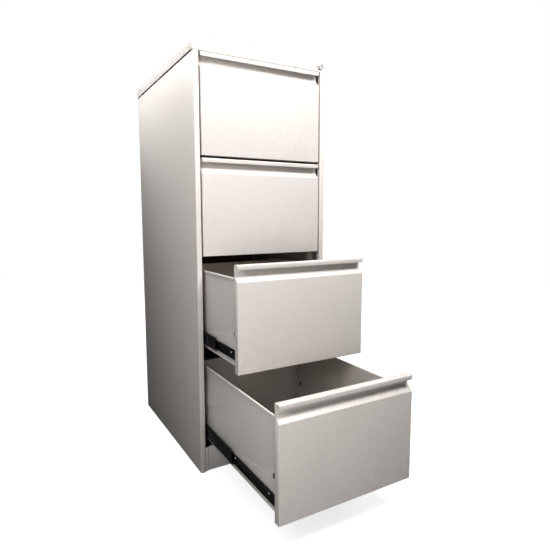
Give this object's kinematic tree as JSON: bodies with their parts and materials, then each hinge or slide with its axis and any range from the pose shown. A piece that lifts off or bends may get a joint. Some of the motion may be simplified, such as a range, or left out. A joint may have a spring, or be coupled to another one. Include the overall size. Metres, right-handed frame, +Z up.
{
  "type": "metal filing cabinet",
  "caption": "Upright sheet-steel filing cabinet with full-width pull drawers on telescopic ball slides and a cam lock that bars every drawer.",
  "frame": {"origin": "on the floor, at the middle of the cabinet's footprint, on the underside of the base pan", "axes": "+Z up, +X to the right of a person facing the drawers, and the drawers open towards -Y; the two lower drawers are stored partly open"},
  "size_m": [0.47, 1.0575, 1.32],
  "materials": {
    "off_white_powder_coat": "satin, finely textured powder coat",
    "black_slide_steel": "black, semi-gloss",
    "zinc_plated_steel": "zinc plated",
    "lock_chrome": "polished"
  },
  "bodies": {
    "carcass": {"back_panel": "off_white_powder_coat", "base_pan": "off_white_powder_coat", "front_upright_left": "off_white_powder_coat", "front_upright_right": "off_white_powder_coat", "lock_bar_guide_1": "zinc_plated_steel", "lock_bar_guide_2": "zinc_plated_steel", "lock_barrel": "lock_chrome", "plinth_rail": "off_white_powder_coat", "rear_upright_left": "off_white_powder_coat", "rear_upright_right": "off_white_powder_coat", "side_panel_left": "off_white_powder_coat", "side_panel_right": "off_white_powder_coat", "slide_1_outer_left": "black_slide_steel", "slide_1_outer_right": "black_slide_steel", "slide_2_outer_left": "black_slide_steel", "slide_2_outer_right": "black_slide_steel", "slide_3_outer_left": "black_slide_steel", "slide_3_outer_right": "black_slide_steel", "slide_4_outer_left": "black_slide_steel", "slide_4_outer_right": "black_slide_steel", "top_cap": "off_white_powder_coat"},
    "lock_plug": {"lock_plug": "lock_chrome", "lock_cam": "zinc_plated_steel"},
    "lock_bar": {"lock_bar": "zinc_plated_steel", "lock_finger_1": "zinc_plated_steel", "lock_finger_2": "zinc_plated_steel", "lock_finger_3": "zinc_plated_steel", "lock_finger_4": "zinc_plated_steel"},
    "drawer_1": {"drawer_1_back": "off_white_powder_coat", "drawer_1_front": "off_white_powder_coat", "drawer_1_liner": "off_white_powder_coat", "drawer_1_tray": "off_white_powder_coat", "slide_1_inner_left": "black_slide_steel", "slide_1_inner_right": "black_slide_steel"},
    "drawer_1_middle_slides": {"slide_1_middle_left": "black_slide_steel", "slide_1_middle_right": "black_slide_steel"},
    "drawer_2": {"drawer_2_back": "off_white_powder_coat", "drawer_2_front": "off_white_powder_coat", "drawer_2_liner": "off_white_powder_coat", "drawer_2_tray": "off_white_powder_coat", "slide_2_inner_left": "black_slide_steel", "slide_2_inner_right": "black_slide_steel"},
    "drawer_2_middle_slides": {"slide_2_middle_left": "black_slide_steel", "slide_2_middle_right": "black_slide_steel"},
    "drawer_3": {"drawer_3_back": "off_white_powder_coat", "drawer_3_front": "off_white_powder_coat", "drawer_3_liner": "off_white_powder_coat", "drawer_3_tray": "off_white_powder_coat", "slide_3_inner_left": "black_slide_steel", "slide_3_inner_right": "black_slide_steel"},
    "drawer_3_middle_slides": {"slide_3_middle_left": "black_slide_steel", "slide_3_middle_right": "black_slide_steel"},
    "drawer_4": {"drawer_4_back": "off_white_powder_coat", "drawer_4_front": "off_white_powder_coat", "drawer_4_liner": "off_white_powder_coat", "drawer_4_tray": "off_white_powder_coat", "slide_4_inner_left": "black_slide_steel", "slide_4_inner_right": "black_slide_steel"},
    "drawer_4_middle_slides": {"slide_4_middle_left": "black_slide_steel", "slide_4_middle_right": "black_slide_steel"}
  },
  "joints": [
    {"name": "lock_turn", "type": "hinge", "parent": "carcass", "child": "lock_plug", "pos_m": [0.215, -0.29, 1.302], "axis": [0, 1, 0], "range_deg": [0, 90]},
    {"name": "lock_bar_slide", "type": "slide", "parent": "carcass", "child": "lock_bar", "axis": [0, 0, -1], "range_m": [0, 0.01414]},
    {"name": "drawer_1_slide", "type": "slide", "parent": "carcass", "child": "drawer_1", "axis": [0, -1, 0], "range_m": [0, 0.5]},
    {"name": "drawer_1_middle_slide", "type": "slide", "parent": "carcass", "child": "drawer_1_middle_slides", "axis": [0, -1, 0], "range_m": [0, 0.25]},
    {"name": "drawer_2_slide", "type": "slide", "parent": "carcass", "child": "drawer_2", "axis": [0, -1, 0], "range_m": [0, 0.5]},
    {"name": "drawer_2_middle_slide", "type": "slide", "parent": "carcass", "child": "drawer_2_middle_slides", "axis": [0, -1, 0], "range_m": [0, 0.25]},
    {"name": "drawer_3_slide", "type": "slide", "parent": "carcass", "child": "drawer_3", "axis": [0, -1, 0], "range_m": [-0.229, 0.271]},
    {"name": "drawer_3_middle_slide", "type": "slide", "parent": "carcass", "child": "drawer_3_middle_slides", "axis": [0, -1, 0], "range_m": [-0.1145, 0.1355]},
    {"name": "drawer_4_slide", "type": "slide", "parent": "carcass", "child": "drawer_4", "axis": [0, -1, 0], "range_m": [-0.436, 0.064]},
    {"name": "drawer_4_middle_slide", "type": "slide", "parent": "carcass", "child": "drawer_4_middle_slides", "axis": [0, -1, 0], "range_m": [-0.218, 0.032]}
  ],
  "couplings": [
    {"joint": "lock_bar_slide", "follows": "lock_turn", "m_per_rad": 0.0090032},
    {"joint": "drawer_1_middle_slide", "follows": "drawer_1_slide", "ratio": 0.5},
    {"joint": "drawer_2_middle_slide", "follows": "drawer_2_slide", "ratio": 0.5},
    {"joint": "drawer_3_middle_slide", "follows": "drawer_3_slide", "ratio": 0.5},
    {"joint": "drawer_4_middle_slide", "follows": "drawer_4_slide", "ratio": 0.5}
  ]
}
